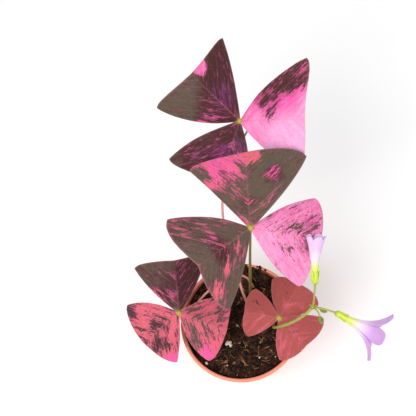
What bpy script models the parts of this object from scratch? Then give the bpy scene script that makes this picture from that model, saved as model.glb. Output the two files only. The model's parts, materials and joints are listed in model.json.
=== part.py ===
"""Purple shamrock with four fronds and one flower stalk, growing in a small plastic nursery pot.

Sizes are in millimetres, +Z is up, and the origin is the middle of the pot's underside.
Each frond has three leaflets on a yellow-green hub, carried by a petiole that rises from a rhizome in the soil.
"""
import math

import bmesh
import bpy
import numpy as np

MM = 0.001
GAP = 0.35                  # clearance kept between pieces that touch
MERGE = 0.00001             # merge distance in metres

# Pot
POT_HEIGHT = 62.0
LIP_RADIUS = 35.0           # outermost reach of the rolled lip
LIP_BEAD = 1.0              # radius of the roll
COLLAR_HEIGHT = 9.0
COLLAR_RADIUS = 33.7        # foot of the collar
SHOULDER_RADIUS = 32.5      # body just under the collar
FOOT_RADIUS = 23.0
WALL = 0.9
FLOOR = 1.0
FOOT_ROUND = 1.2
STEP_DEPTH = 1.0            # height over which the body steps out to the collar
COLLAR_FLARE = 0.4
LIP_ROOT = 1.6              # the wall starts this far under the middle of the roll
POT_SIDES = 40
DRAIN_COUNT = 6
DRAIN_RADIUS = 3.0
DRAIN_RING = 14.0

# Soil
SOIL_LEVEL = 55.0
SOIL_BANK = 4.0             # how much the soil rises towards the back of the pot
SOIL_SIDES = 32
SOIL_TOP_ROWS = 12
SOIL_SIDE_ROWS = 3          # one down to the skirt's depth and two down to the bottom
SOIL_SKIRT = 5.0
SOIL_CLEAR = 0.5            # kept from the pot's wall below the skirt
SOIL_LUMPS = 26
SOIL_SEED = 7

# Leaves
LEAF_THICKNESS = 0.7
LEAF_ROWS = 6
LEAF_COLUMNS = 10
HUB_RADIUS = 1.75
CORNER_ALONG = 0.98         # a leaflet's outer corner, in midrib lengths
CORNER_ASIDE = 0.80
CORNER_BLUNT = 0.10
MIDRIB_DROOP = math.radians(8)
WING_CURL = math.radians(10)

# Each frond: hub, midrib length, and three leaflets. A leaflet has its heading, pitch and roll in degrees,
# a length factor, and for its left and right wing the fold in degrees, the breadth factor and the bulges
# of its side and far margins in midrib lengths.
FRONDS = {
    "leaf_1": ((27.6, 88.8, 130.0), 39.1, (
        ((136, 45, -33), 0.97, (26, 1.18, 0.133, -0.010), (41, 1.18, 0.041, -0.024)),
        ((-33, 30, 19), 1.02, (0, 1.13, 0.099, -0.009), (15, 0.88, 0.080, 0.010)),
        ((-131, -33, -29), 0.94, (41, 1.09, 0.049, 0.020), (4, 1.09, 0.080, -0.001)))),
    "leaf_2": ((16.5, 23.8, 138.0), 37.0, (
        ((79, 12, -2), 1.08, (12, 1.07, -0.007, 0.005), (5, 1.07, 0.052, 0.044)),
        ((-150, 22, -13), 0.96, (22, 1.04, 0.046, 0.058), (0, 1.05, 0.087, 0.057)),
        ((-23, -9, 3), 0.97, (14, 1.00, 0.066, 0.039), (38, 1.03, 0.085, -0.006)))),
    "leaf_3": ((-31.6, 6.1, 88.0), 29.3, (
        ((77, 33, 19), 1.00, (21, 1.06, 0.061, 0.017), (27, 1.06, 0.068, 0.020)),
        ((-164, -27, -12), 1.02, (29, 1.05, 0.038, 0.039), (5, 1.05, 0.110, 0.033)),
        ((-32, -16, 6), 0.97, (20, 0.96, 0.119, -0.003), (16, 0.93, 0.119, 0.028)))),
    "leaf_4": ((20.4, -10.6, 86.0), 22.2, (
        ((150, -12, -12), 0.93, (23, 0.95, 0.085, 0.070), (14, 0.95, 0.085, 0.070)),
        ((45, 0, 2), 1.03, (22, 0.99, 0.085, 0.070), (28, 0.99, 0.085, 0.070)),
        ((-55, -30, 9), 1.03, (5, 1.04, 0.085, 0.070), (20, 1.04, 0.085, 0.070)))),
}

# Petioles: foot radius, top radius and route from the foot in the soil to just under the hub
PETIOLES = {
    "petiole_1": ("leaf_1", 0.85, 0.5, (
        (6.4, 10.6, 50.6), (6.2, 12.0, 56.0), (5.2, 18.0, 72.0), (5.0, 36.0, 81.0), (5.6, 53.8, 89.6),
        (10.3, 68.5, 95.2), (18.6, 80.1, 101.0), (28.3, 88.4, 111.0), (30.9, 89.7, 115.5), (30.2, 90.0, 120.5),
        (28.9, 90.4, 125.0))),
    "petiole_2": ("leaf_2", 1.25, 0.60, (
        (9.4, 14.2, 50.6), (9.7, 14.5, 57.0), (11.0, 16.2, 78.0), (13.2, 19.4, 104.0))),
    "petiole_3": ("leaf_3", 0.70, 0.55, (
        (13.1, 18.6, 50.6), (12.6, 19.2, 56.0), (9.2, 22.8, 68.0), (0.0, 24.0, 74.5),
        (-14.0, 17.4, 76.0), (-26.0, 8.8, 77.5), (-30.8, 6.4, 81.5))),
    "petiole_4": ("leaf_4", 0.75, 0.55, (
        (14.0, 3.6, 50.6), (14.2, 3.2, 56.0), (16.5, -0.6, 67.0), (19.6, -7.4, 79.0))),
}

# Flower stalk
STALK_FOOT_RADIUS = 0.9
STALK_TOP_RADIUS = 0.75
STALK_ROUTE = (
    (20.2, 1.2, 50.6), (20.0, 0.6, 56.0), (17.6, -7.4, 68.0), (16.5, -13.2, 80.5), (17.6, -15.2, 86.5),
    (20.6, -16.2, 90.5), (25.0, -16.8, 94.0), (32.0, -16.8, 101.5), (37.3, -15.8, 110.0))
UMBEL_RADIUS = 1.3
PEDICEL_RADIUS = 0.5

# Flowers: base, axis from the base to the mouth, length, mouth radius and depth of the notches between petals
FLOWERS = (
    ((40.2, -8.5, 128.9), (0.256, 0.817, 0.516), 26.0, 5.0, 0.13),
    ((48.1, -23.2, 112.0), (0.72, -0.67, -0.17), 27.5, 14.0, 0.42))
PEDICEL_BENDS = (
    ((38.0, -14.6, 116.2), (38.9, -12.3, 122.8)),
    ((40.4, -18.0, 112.5), (44.0, -20.4, 113.2)))
TUBE_RADIUS = 1.0
TUBE_SLOPE = 2.6            # widening of the tube before the flare
PETALS = 5
PETAL_THICKNESS = 0.6
COROLLA_SIDES = 30
COROLLA_ROWS = 6
CALYX_DEPTH = 5.0
CALYX_CLEAR = 1.15          # calyx surface stands this far outside the tube's
CALYX_TAPER = 0.45
CALYX_SINK = 1.3
CALYX_SIDES = 20
CALYX_ROWS = 4
SEPAL_ROOT = 0.35           # share of the calyx's depth below the gaps between its sepals
SEPAL_POINT = 1.5           # how sharply the sepals narrow
STAMEN_START = 1.4          # height of the stamens' foot above the base of the corolla
STAMEN_LENGTH = 8.0
STAMEN_RADIUS = 0.6
ANTHER_RADIUS = 0.55

# Buds: bend of the short stalk, foot of the bud, axis, length and radius
BUDS = (
    ((39.4, -16.6, 109.6), (40.6, -17.4, 108.2), (0.75, -0.40, -0.53), 4.6, 1.25),
    ((38.9, -18.4, 109.2), (39.5, -20.6, 106.6), (0.10, -0.62, -0.78), 5.2, 1.35))
BUD_ROWS = 6
BUD_SIDES = 10
BUD_RIDGE = 0.08

# Rhizomes: the two ends and the radius
RHIZOMES = (
    ((2.6, 7.2, 46.0), (16.4, 22.0, 46.0), 3.6),
    ((11.2, 4.8, 46.3), (24.0, 0.2, 46.3), 3.3))
RHIZOME_ROWS = 14
RHIZOME_SIDES = 14
SCALE_RINGS = 6
SCALE_RELIEF = 0.12

STEM_STEP = 5.0
STEM_SIDES = 2


def new_collection(name):
    collection = bpy.data.collections.new(name)
    bpy.context.scene.collection.children.link(collection)
    return collection


def make_material(name, colour, roughness):
    material = bpy.data.materials.new(name)
    material.use_nodes = True
    shader = material.node_tree.nodes["Principled BSDF"]
    shader.inputs["Base Color"].default_value = (*colour, 1.0)
    shader.inputs["Roughness"].default_value = roughness
    shader.inputs["Metallic"].default_value = 0.0
    return material


def add_object(name, data, collection, material=None):
    obj = bpy.data.objects.new(name, data)
    collection.objects.link(obj)
    if material:
        data.materials.append(material)
    if collection is cutters:
        obj.hide_render = True
        obj.display_type = "WIRE"
    return obj


def bake(obj):
    """Applies an object's modifiers, or makes a curve a mesh, and welds its doubled points."""
    graph = bpy.context.evaluated_depsgraph_get()
    mesh = bpy.data.meshes.new_from_object(obj.evaluated_get(graph))
    bm = bmesh.new()
    bm.from_mesh(mesh)
    bmesh.ops.remove_doubles(bm, verts=bm.verts, dist=MERGE)
    bm.to_mesh(mesh)
    bm.free()
    name = obj.name
    collection = obj.users_collection[0]
    bpy.data.objects.remove(obj)
    return add_object(name, mesh, collection)


def combine(target, others, operation):
    """Joins or cuts the target with several solids in one Boolean, and removes them."""
    group = bpy.data.collections.new("operands")
    bpy.context.scene.collection.children.link(group)
    for other in others:
        group.objects.link(other)
    modifier = target.modifiers.new("combine", "BOOLEAN")
    modifier.operation = operation
    modifier.operand_type = "COLLECTION"
    modifier.collection = group
    modifier.solver = "EXACT"
    bpy.context.view_layer.update()
    solid = bake(target)
    for other in others:
        bpy.data.objects.remove(other)
    bpy.data.collections.remove(group)
    return solid


def grid_mesh(name, columns, rows, shape):
    """A grid primitive whose points go where shape(across, along) says, both from -1 to 1."""
    bm = bmesh.new()
    bmesh.ops.create_grid(bm, x_segments=columns, y_segments=rows, size=1.0)
    flat = np.array([vertex.co[:] for vertex in bm.verts])
    places = shape(flat[:, 0], flat[:, 1]) * MM
    for vertex, place in zip(bm.verts, places):
        vertex.co = place
    bmesh.ops.remove_doubles(bm, verts=bm.verts, dist=MERGE)
    bmesh.ops.dissolve_degenerate(bm, edges=bm.edges, dist=MERGE)
    mesh = bpy.data.meshes.new(name)
    bm.to_mesh(mesh)
    bm.free()
    return mesh


def smooth_route(points, step=STEM_STEP):
    """Points about one step apart on a Catmull-Rom curve through the given ones."""
    nodes = np.array(points, dtype=float)
    padded = np.vstack([2 * nodes[0] - nodes[1], nodes, 2 * nodes[-1] - nodes[-2]])
    route = [nodes[0]]
    for a, b, c, d in zip(padded, padded[1:], padded[2:], padded[3:]):
        count = max(2, round(np.linalg.norm(c - b) / step))
        for t in np.arange(1, count + 1) / count:
            route.append(0.5 * (2 * b + (c - a) * t + (2 * a - 5 * b + 4 * c - d) * t ** 2
                                + (3 * b - a - 3 * c + d) * t ** 3))
    return np.array(route)


def make_stem(name, route, foot_radius, top_radius, collection, material=None, grow=0.0):
    """A tapering stem along a route, wider by grow where it serves as a cutter."""
    curve = bpy.data.curves.new(name, "CURVE")
    curve.dimensions = "3D"
    curve.bevel_depth = MM
    curve.bevel_resolution = STEM_SIDES
    curve.use_fill_caps = True
    spline = curve.splines.new("POLY")
    spline.points.add(len(route) - 1)
    for index, (point, place) in enumerate(zip(spline.points, route)):
        share = index / (len(route) - 1)
        point.co = (*(place * MM), 1.0)
        point.radius = foot_radius + (top_radius - foot_radius) * share + grow
    return bake(add_object(name, curve, collection, material))


def axes_along(axis):
    """Two unit directions square to an axis, and the axis itself at unit length."""
    ahead = np.array(axis, dtype=float)
    ahead /= np.linalg.norm(ahead)
    aside = np.cross(ahead, (0.0, 0.0, 1.0))
    aside /= np.linalg.norm(aside)
    return aside, np.cross(aside, ahead), ahead


def around(origin, axis, radius, height, turn):
    """Places points by radius, height and turn about an axis."""
    aside, over, ahead = axes_along(axis)
    return (np.array(origin) + radius[:, None] * (np.cos(turn)[:, None] * aside + np.sin(turn)[:, None] * over)
            + height[:, None] * ahead)


def wall_radius(height):
    """Outer radius of the pot's wall under its lip."""
    collar_foot = POT_HEIGHT - COLLAR_HEIGHT
    body = FOOT_RADIUS + (SHOULDER_RADIUS - FOOT_RADIUS) * height / (collar_foot - STEP_DEPTH)
    collar = COLLAR_RADIUS + COLLAR_FLARE * (height - collar_foot) / COLLAR_HEIGHT
    blend = np.clip((height - collar_foot) / STEP_DEPTH + 1.0, 0.0, 1.0)
    return body * (1.0 - blend) + collar * blend


def make_pot():
    """The pot's section: the rolled lip, the outside down to the foot, the underside and the inside back up."""
    middle = LIP_RADIUS - LIP_BEAD
    lip_height = POT_HEIGHT - LIP_BEAD
    collar_foot = POT_HEIGHT - COLLAR_HEIGHT
    turns = np.radians(np.linspace(90, -60, 6))
    section = [(middle + LIP_BEAD * math.cos(t), lip_height + LIP_BEAD * math.sin(t)) for t in turns]
    for height in (lip_height - LIP_ROOT, collar_foot, collar_foot - STEP_DEPTH, FOOT_ROUND):
        section.append((float(wall_radius(height)), height))
    section += [(FOOT_RADIUS - 0.3, 0.35), (FOOT_RADIUS - FOOT_ROUND, 0.0), (0.0, 0.0)]
    section += [(0.0, FLOOR), (FOOT_RADIUS - WALL - 0.6, FLOOR)]
    for height in (FLOOR + 0.8, collar_foot - STEP_DEPTH, collar_foot, lip_height - LIP_ROOT):
        section.append((float(wall_radius(height)) - WALL, height))
    section.append((middle - LIP_BEAD, lip_height))
    section.append((middle - 0.7 * LIP_BEAD, lip_height + 0.7 * LIP_BEAD))
    mesh = bpy.data.meshes.new("pot")
    count = len(section)
    pairs = [(i, (i + 1) % count) for i in range(count)]
    edges = [(i, j) for i, j in pairs if not section[i][0] == section[j][0] == 0]
    mesh.from_pydata([(r * MM, 0, z * MM) for r, z in section], edges, [])
    pot = add_object("pot", mesh, parts, make_material("pot_plastic", (0.72, 0.27, 0.18), 0.45))
    screw = pot.modifiers.new("turn", "SCREW")
    screw.steps = POT_SIDES
    screw.render_steps = POT_SIDES
    screw.use_merge_vertices = True
    screw.merge_threshold = MERGE
    pot = bake(pot)
    tools = []
    for index in range(DRAIN_COUNT):
        turn = 2 * math.pi * (index + 0.5) / DRAIN_COUNT
        bpy.ops.mesh.primitive_cylinder_add(
            vertices=16, radius=DRAIN_RADIUS * MM, depth=6 * FLOOR * MM,
            location=(DRAIN_RING * math.cos(turn) * MM, DRAIN_RING * math.sin(turn) * MM, 0))
        tools.append(take_active("drain_cutter"))
    return combine(pot, tools, "DIFFERENCE")


def take_active(name):
    """Moves the primitive that was just added to the cutters."""
    obj = bpy.context.object
    obj.name = name
    for collection in list(obj.users_collection):
        collection.objects.unlink(obj)
    cutters.objects.link(obj)
    obj.hide_render = True
    obj.display_type = "WIRE"
    return obj


def soil_height(x, y):
    """Height of the soil: a bank towards the back, long waves, and seeded lumps."""
    draw = np.random.default_rng(SOIL_SEED)
    height = SOIL_LEVEL + SOIL_BANK * np.clip((y + 4.0) / 34.0, 0, 1) ** 2
    height = height + 0.5 * np.sin(x / 6.1 + 0.7) * np.cos(y / 7.3)
    for _ in range(SOIL_LUMPS):
        radius, turn, size, rise = (draw.uniform(2, 30), draw.uniform(0, 2 * math.pi),
                                    draw.uniform(1.8, 3.4), draw.uniform(0.6, 1.5))
        away = (x - radius * math.cos(turn)) ** 2 + (y - radius * math.sin(turn)) ** 2
        height = height + rise * np.exp(-away / size ** 2)
    return height


def make_soil(stem_cutters, pockets):
    """The soil's top, side and underside as one closed sheet, then holes for stems and rhizomes."""
    soil_rows = SOIL_TOP_ROWS + SOIL_SIDE_ROWS + 1

    def shape(across, along):
        turn = across * math.pi
        run = (along + 1) / 2 * soil_rows
        top = np.clip(run / SOIL_TOP_ROWS, 0, 1)
        side = np.clip(run - SOIL_TOP_ROWS, 0, SOIL_SIDE_ROWS)
        under = np.clip(run - SOIL_TOP_ROWS - SOIL_SIDE_ROWS, 0, 1)
        edge = float(wall_radius(SOIL_LEVEL + 1)) - WALL - GAP
        x = edge * top * np.cos(turn)
        y = edge * top * np.sin(turn)
        height = soil_height(x, y)
        bottom = FLOOR + GAP
        low = SOIL_LEVEL - SOIL_SKIRT
        height = height + (low - height) * np.clip(side, 0, 1)
        height = height + (bottom - low) * np.clip(side - 1, 0, None) / (SOIL_SIDE_ROWS - 1)
        radius = edge * top
        below = wall_radius(height) - WALL - SOIL_CLEAR
        radius = np.where(side > 0, np.minimum(radius, below), radius)
        radius = radius * (1 - under)
        return np.stack([radius * np.cos(turn), radius * np.sin(turn), height], axis=1)

    mesh = grid_mesh("soil", SOIL_SIDES, soil_rows, shape)
    soil = add_object("soil", mesh, parts, make_material("potting_soil", (0.045, 0.024, 0.014), 0.95))
    face_out(soil)
    return combine(soil, stem_cutters + pockets, "DIFFERENCE")


def face_out(obj):
    """Turns every face of a closed mesh outward."""
    bm = bmesh.new()
    bm.from_mesh(obj.data)
    bmesh.ops.recalc_face_normals(bm, faces=bm.faces)
    bm.to_mesh(obj.data)
    bm.free()


def make_rhizome(name, start, end, radius, collection, grow=0.0, material=None):
    """A spindle along a line whose radius steps at each ring of scales."""
    origin = np.array(start, dtype=float)
    line = np.array(end, dtype=float) - origin
    length = np.linalg.norm(line)

    def shape(across, along):
        share = (along + 1) / 2
        girth = np.sqrt(np.clip(1 - (2 * share - 1) ** 2, 0, 1)) ** 0.7
        scales = 1 + SCALE_RELIEF * (1 - (share * SCALE_RINGS + 0.5 * (across + 1)) % 1)
        scales = np.where(grow > 0, 1 + SCALE_RELIEF, scales)
        turn = across * math.pi
        seam = np.where(np.abs(across) == 1, 1 + SCALE_RELIEF / 2, scales)
        return around(origin, line, (radius * seam + grow) * girth, share * (length + 2 * grow) - grow, turn)

    mesh = grid_mesh(name, RHIZOME_SIDES, RHIZOME_ROWS, shape)
    rhizome = add_object(name, mesh, collection, material)
    face_out(rhizome)
    return rhizome


def leaflet_shape(hub, length, leaflet):
    """Maps a grid to one leaflet: a blunt-cornered triangle folded along its midrib and set at its pose.

    along goes from the hub to the far margin, and across from the right margin over the midrib to the left one.
    """
    (heading, pitch, roll), long_factor, left_wing, right_wing = leaflet

    def shape(across, along):
        u = (along + 1) / 2
        s = np.abs(across)
        wings = zip(left_wing, right_wing)
        fold, broad, side_bulge, far_bulge = (np.where(across > 0, left, right) for left, right in wings)
        aside_corner = CORNER_ASIDE * broad
        slant = np.hypot(CORNER_ALONG, aside_corner)
        bow = side_bulge * np.sin(math.pi * u) / slant
        side_out = CORNER_ALONG * u - bow * aside_corner
        side_off = 0.02 * (1 - u) + aside_corner * u + bow * CORNER_ALONG
        out = (1 - s) * u + s * side_out + far_bulge * u ** 3 * np.sin(math.pi * s)
        off = s * side_off
        blunt = CORNER_BLUNT * (u * s) ** 7 / slant
        out = out - blunt * CORNER_ALONG
        off = off - blunt * aside_corner
        fold = np.radians(fold)
        turned = fold + WING_CURL * off
        side = (np.sin(turned) - np.sin(fold)) / WING_CURL * np.sign(across)
        drop = (np.cos(turned) - np.cos(fold)) / WING_CURL
        bend = MIDRIB_DROOP * out
        ahead = np.sin(bend) / MIDRIB_DROOP + drop * np.sin(bend)
        rise = (np.cos(bend) - 1) / MIDRIB_DROOP + drop * np.cos(bend)
        blade = np.stack([ahead, side, rise], axis=1) * length * long_factor
        return blade @ pose_matrix(heading, pitch, roll).T + np.array(hub)

    return shape


def pose_matrix(heading, pitch, roll):
    """Rolls about the midrib, lifts by the pitch, then turns to the heading."""
    h, p, r = (math.radians(angle) for angle in (heading, pitch, roll))
    about_rib = np.array([[1, 0, 0], [0, math.cos(r), -math.sin(r)], [0, math.sin(r), math.cos(r)]])
    lift = np.array([[math.cos(p), 0, -math.sin(p)], [0, 1, 0], [math.sin(p), 0, math.cos(p)]])
    turn = np.array([[math.cos(h), -math.sin(h), 0], [math.sin(h), math.cos(h), 0], [0, 0, 1]])
    return turn @ lift @ about_rib


def make_frond(name, hub, length, leaflets, material):
    """Three leaflets of even thickness joined with the hub that they grow from."""
    blades = []
    for index, leaflet in enumerate(leaflets):
        blade_name = f"{name}_leaflet_{index}"
        mesh = grid_mesh(blade_name, LEAF_COLUMNS, LEAF_ROWS, leaflet_shape(hub, length, leaflet))
        blade = add_object(blade_name, mesh, parts)
        blade.modifiers.new("split", "TRIANGULATE")
        thicken(blade, LEAF_THICKNESS, 0.0)
        blades.append(bake(blade))
    bm = bmesh.new()
    bmesh.ops.create_uvsphere(bm, u_segments=10, v_segments=6, radius=HUB_RADIUS * MM)
    bmesh.ops.translate(bm, verts=bm.verts, vec=np.array(hub) * MM)
    mesh = bpy.data.meshes.new(name)
    bm.to_mesh(mesh)
    bm.free()
    return combine(add_object(name, mesh, parts, material), blades, "UNION")


def thicken(obj, thickness, offset):
    modifier = obj.modifiers.new("thicken", "SOLIDIFY")
    modifier.thickness = thickness * MM
    modifier.offset = offset


def tube_profile(share, length, mouth):
    """Radius and height of a corolla at a share of its length: a narrow tube that flares to the mouth."""
    flare = mouth - TUBE_RADIUS - TUBE_SLOPE
    radius = TUBE_RADIUS + TUBE_SLOPE * share + flare * share ** 3
    return radius, length * (share - 0.12 * share ** 4)


def petal_reach(turn, notch):
    """How far the rim reaches at a turn: full at each petal's middle and less between petals."""
    return 1 - notch * (1 - np.abs(np.cos(PETALS * turn / 2)) ** 0.8)


def make_corolla(name, flower, material):
    base, axis, length, mouth, notch = flower

    def shape(across, along):
        turn = across * math.pi
        share = (along + 1) / 2
        ring = np.clip((share * COROLLA_ROWS - 1) / (COROLLA_ROWS - 1), 0, 1)
        radius, height = tube_profile(ring * petal_reach(turn, notch), length, mouth)
        radius = np.where(share == 0, 0.0, radius)
        return around(base, axis, radius, height, turn)

    corolla = add_object(name, grid_mesh(name, COROLLA_SIDES, COROLLA_ROWS, shape), parts, material)
    face_out(corolla)
    corolla.modifiers.new("split", "TRIANGULATE")
    thicken(corolla, PETAL_THICKNESS, 0.0)
    return bake(corolla)


def make_calyx(name, flower, material):
    """A cup of five pointed sepals round the foot of the corolla's tube."""
    base, axis, length, mouth, _ = flower

    def shape(across, along):
        turn = across * math.pi
        share = (along + 1) / 2
        ring = np.clip((share * CALYX_ROWS - 1) / (CALYX_ROWS - 1), 0, 1)
        tooth = SEPAL_ROOT + (1 - SEPAL_ROOT) * (0.5 + 0.5 * np.cos(PETALS * turn)) ** SEPAL_POINT
        height = -CALYX_SINK + (CALYX_DEPTH + CALYX_SINK) * ring * tooth
        radius, _ = tube_profile(np.clip(height, 0, None) / length, length, mouth)
        radius = np.where(share == 0, 0.0, radius + CALYX_CLEAR - CALYX_TAPER * (1 - ring) ** 3)
        return around(base, axis, radius, height, turn)

    calyx = add_object(name, grid_mesh(name, CALYX_SIDES, CALYX_ROWS, shape), parts, material)
    face_out(calyx)
    calyx.modifiers.new("split", "TRIANGULATE")
    thicken(calyx, PETAL_THICKNESS, 0.0)
    return bake(calyx)


def make_stamens(name, flower, material):
    """The filaments, joined in a column as they are at the foot, with a ring of anthers on top."""
    base, axis, _, _, _ = flower
    ahead = axes_along(axis)[2]
    foot = np.array(base) + STAMEN_START * ahead
    top = foot + STAMEN_LENGTH * ahead
    column = make_stem(name, np.array([foot, (foot + top) / 2, top]), STAMEN_RADIUS, 0.8 * STAMEN_RADIUS,
                       parts, material)
    anthers = []
    turns = 2 * math.pi * np.arange(PETALS) / PETALS
    places = around(top, axis, np.full(PETALS, 0.65 * STAMEN_RADIUS), np.zeros(PETALS), turns)
    for place in places:
        bm = bmesh.new()
        bmesh.ops.create_uvsphere(bm, u_segments=6, v_segments=4, radius=ANTHER_RADIUS * MM)
        bmesh.ops.translate(bm, verts=bm.verts, vec=place * MM)
        mesh = bpy.data.meshes.new("anther")
        bm.to_mesh(mesh)
        bm.free()
        anthers.append(add_object("anther", mesh, parts))
    return combine(column, anthers, "UNION")


def make_bud(name, foot, axis, length, radius, material):
    """A closed flower bud: an egg shape with five soft ridges."""
    def shape(across, along):
        turn = across * math.pi
        share = (along + 1) / 2
        girth = np.sin(math.pi * share ** 0.8) ** 0.8
        ridges = 1 + BUD_RIDGE * np.cos(PETALS * turn)
        return around(foot, axis, radius * girth * ridges, length * share, turn)

    bud = add_object(name, grid_mesh(name, BUD_SIDES, BUD_ROWS, shape), parts, material)
    face_out(bud)
    return bud


def make_flower_stalk(material):
    """The peduncle, the small knob of the umbel and every pedicel, grown as one piece."""
    stalk = make_stem("flower_stalk", smooth_route(STALK_ROUTE), STALK_FOOT_RADIUS, STALK_TOP_RADIUS,
                      parts, material)
    umbel = np.array(STALK_ROUTE[-1])
    branches = []
    for flower, bends in zip(FLOWERS, PEDICEL_BENDS):
        base, axis = flower[0], flower[1]
        end = np.array(base) - (CALYX_SINK + PETAL_THICKNESS / 2 + GAP) * axes_along(axis)[2]
        branches.append(smooth_route([umbel, *bends, end], 2.5))
    for bend, foot, axis, _, _ in BUDS:
        branches.append(smooth_route([umbel, bend, np.array(foot) - GAP * axes_along(axis)[2]], 1.5))
    pieces = [make_stem("pedicel", route, PEDICEL_RADIUS, PEDICEL_RADIUS, parts) for route in branches]
    bm = bmesh.new()
    bmesh.ops.create_uvsphere(bm, u_segments=10, v_segments=6, radius=UMBEL_RADIUS * MM)
    bmesh.ops.translate(bm, verts=bm.verts, vec=umbel * MM)
    mesh = bpy.data.meshes.new("umbel")
    bm.to_mesh(mesh)
    bm.free()
    pieces.append(add_object("umbel", mesh, parts))
    return combine(stalk, pieces, "UNION")


for old in list(bpy.data.objects):
    bpy.data.objects.remove(old)
parts = new_collection("purple_shamrock")
cutters = new_collection("cutters")

leaf_material = make_material("leaf", (0.20, 0.05, 0.09), 0.55)
stem_material = make_material("petiole", (0.20, 0.17, 0.05), 0.5)
stalk_material = make_material("flower_stalk", (0.25, 0.32, 0.07), 0.5)
petal_material = make_material("petal", (0.62, 0.45, 0.75), 0.6)
root_material = make_material("rhizome", (0.42, 0.24, 0.16), 0.8)

make_pot()
for leaf_name, (leaf_hub, leaf_length, leaf_parts) in FRONDS.items():
    make_frond(leaf_name, leaf_hub, leaf_length, leaf_parts, leaf_material)

stem_holes = []
for stem_name, (leaf_name, foot_size, top_size, bends) in PETIOLES.items():
    hub = np.array(FRONDS[leaf_name][0])
    under_hub = hub + (HUB_RADIUS + GAP) * axes_along(np.array(bends[-1]) - hub)[2]
    stem_route = smooth_route([*bends, under_hub])
    make_stem(stem_name, stem_route, foot_size, top_size, parts, stem_material)
    in_soil = smooth_route([np.array(bends[0]) - (0, 0, 1.5), *bends[:3]])
    stem_holes.append(make_stem(f"{stem_name}_hole", in_soil, foot_size, foot_size, cutters, grow=GAP))
make_flower_stalk(stalk_material)
in_soil = smooth_route([np.array(STALK_ROUTE[0]) - (0, 0, 1.5), *STALK_ROUTE[:3]])
stem_holes.append(make_stem("stalk_hole", in_soil, STALK_FOOT_RADIUS, STALK_FOOT_RADIUS, cutters, grow=GAP))

hollows = []
for number, (near_end, far_end, girth) in enumerate(RHIZOMES, start=1):
    make_rhizome(f"rhizome_{number}", near_end, far_end, girth, parts, material=root_material)
    hollows.append(make_rhizome(f"hollow_{number}", near_end, far_end, girth, cutters, grow=GAP))
make_soil(stem_holes, hollows)

for number, flower in enumerate(FLOWERS, start=1):
    make_corolla(f"corolla_{number}", flower, petal_material)
    make_calyx(f"calyx_{number}", flower, stalk_material)
    make_stamens(f"stamens_{number}", flower, stalk_material)
for number, (_, bud_foot, bud_axis, bud_length, bud_radius) in enumerate(BUDS, start=1):
    make_bud(f"bud_{number}", bud_foot, bud_axis, bud_length, bud_radius, stalk_material)
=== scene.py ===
"""Looks of a potted purple shamrock: pot, soil, stalks, marbled leaves and lilac flowers, in millimetres."""

import json
import math

import bpy
import numpy as np
from mathutils import Matrix

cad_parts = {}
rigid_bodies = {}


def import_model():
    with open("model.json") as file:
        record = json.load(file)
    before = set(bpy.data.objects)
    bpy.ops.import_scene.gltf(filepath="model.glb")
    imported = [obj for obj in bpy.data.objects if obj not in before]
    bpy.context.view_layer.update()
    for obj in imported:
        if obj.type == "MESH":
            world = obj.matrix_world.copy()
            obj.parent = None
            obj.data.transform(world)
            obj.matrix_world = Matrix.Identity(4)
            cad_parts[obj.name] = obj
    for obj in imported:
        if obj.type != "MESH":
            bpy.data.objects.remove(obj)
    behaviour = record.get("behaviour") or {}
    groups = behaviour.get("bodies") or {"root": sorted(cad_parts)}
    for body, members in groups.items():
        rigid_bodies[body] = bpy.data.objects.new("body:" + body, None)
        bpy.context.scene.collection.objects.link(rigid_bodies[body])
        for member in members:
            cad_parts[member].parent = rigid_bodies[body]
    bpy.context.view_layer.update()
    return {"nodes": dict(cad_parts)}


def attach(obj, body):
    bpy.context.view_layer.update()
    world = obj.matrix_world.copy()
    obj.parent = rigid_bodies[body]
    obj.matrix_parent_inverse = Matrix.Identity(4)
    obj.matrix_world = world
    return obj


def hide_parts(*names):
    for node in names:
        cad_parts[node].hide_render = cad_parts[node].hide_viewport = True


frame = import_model()
MM = 0.001


def unit(vector):
    vector = np.array(vector, dtype=float)
    return vector / np.linalg.norm(vector)


def stand(name, data, x_axis, z_axis, place):
    """Stands a camera or lamp at a place in millimetres, its own X and Z axes turned to these directions."""
    matrix = np.eye(4)
    matrix[:3] = np.stack([x_axis, np.cross(z_axis, x_axis), z_axis, np.array(place) * MM], axis=1)
    obj = bpy.data.objects.new(name, data)
    obj.matrix_world = Matrix(matrix.tolist())
    bpy.context.scene.collection.objects.link(obj)
    return obj


# The camera looks steeply down on the pot from in front and is turned a little about its own axis, as in
# the photograph. The middle of the pot's rim lies at a given pixel of the 416 x 416 frame.
FRAME_PIXELS = 416
FOCAL_PIXELS = 750.0
CAMERA_TILT = math.radians(66)
CAMERA_ROLL = math.radians(-15)
RIM_DISTANCE = 432.8
RIM_HEIGHT = 62.0
RIM_PIXEL = (240.6, 320.7)
look = np.array([0.0, math.cos(CAMERA_TILT), -math.sin(CAMERA_TILT)])
level = np.array([1.0, 0.0, 0.0])
upright = np.cross(level, look)
camera_x = level * math.cos(CAMERA_ROLL) + upright * math.sin(CAMERA_ROLL)
camera_y = np.cross(camera_x, look)
aside = (RIM_PIXEL[0] - FRAME_PIXELS / 2) / FOCAL_PIXELS
down = (RIM_PIXEL[1] - FRAME_PIXELS / 2) / FOCAL_PIXELS
eye = np.array([0.0, 0.0, RIM_HEIGHT]) - RIM_DISTANCE * (look + camera_x * aside - camera_y * down)
camera_data = bpy.data.cameras.new("camera")
camera_data.sensor_width = 36.0
camera_data.lens = camera_data.sensor_width * FOCAL_PIXELS / FRAME_PIXELS
camera_data.clip_start = 0.01
bpy.context.scene.camera = stand("camera", camera_data, camera_x, -look, eye)
bpy.context.scene.view_settings.view_transform = "Standard"


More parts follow.
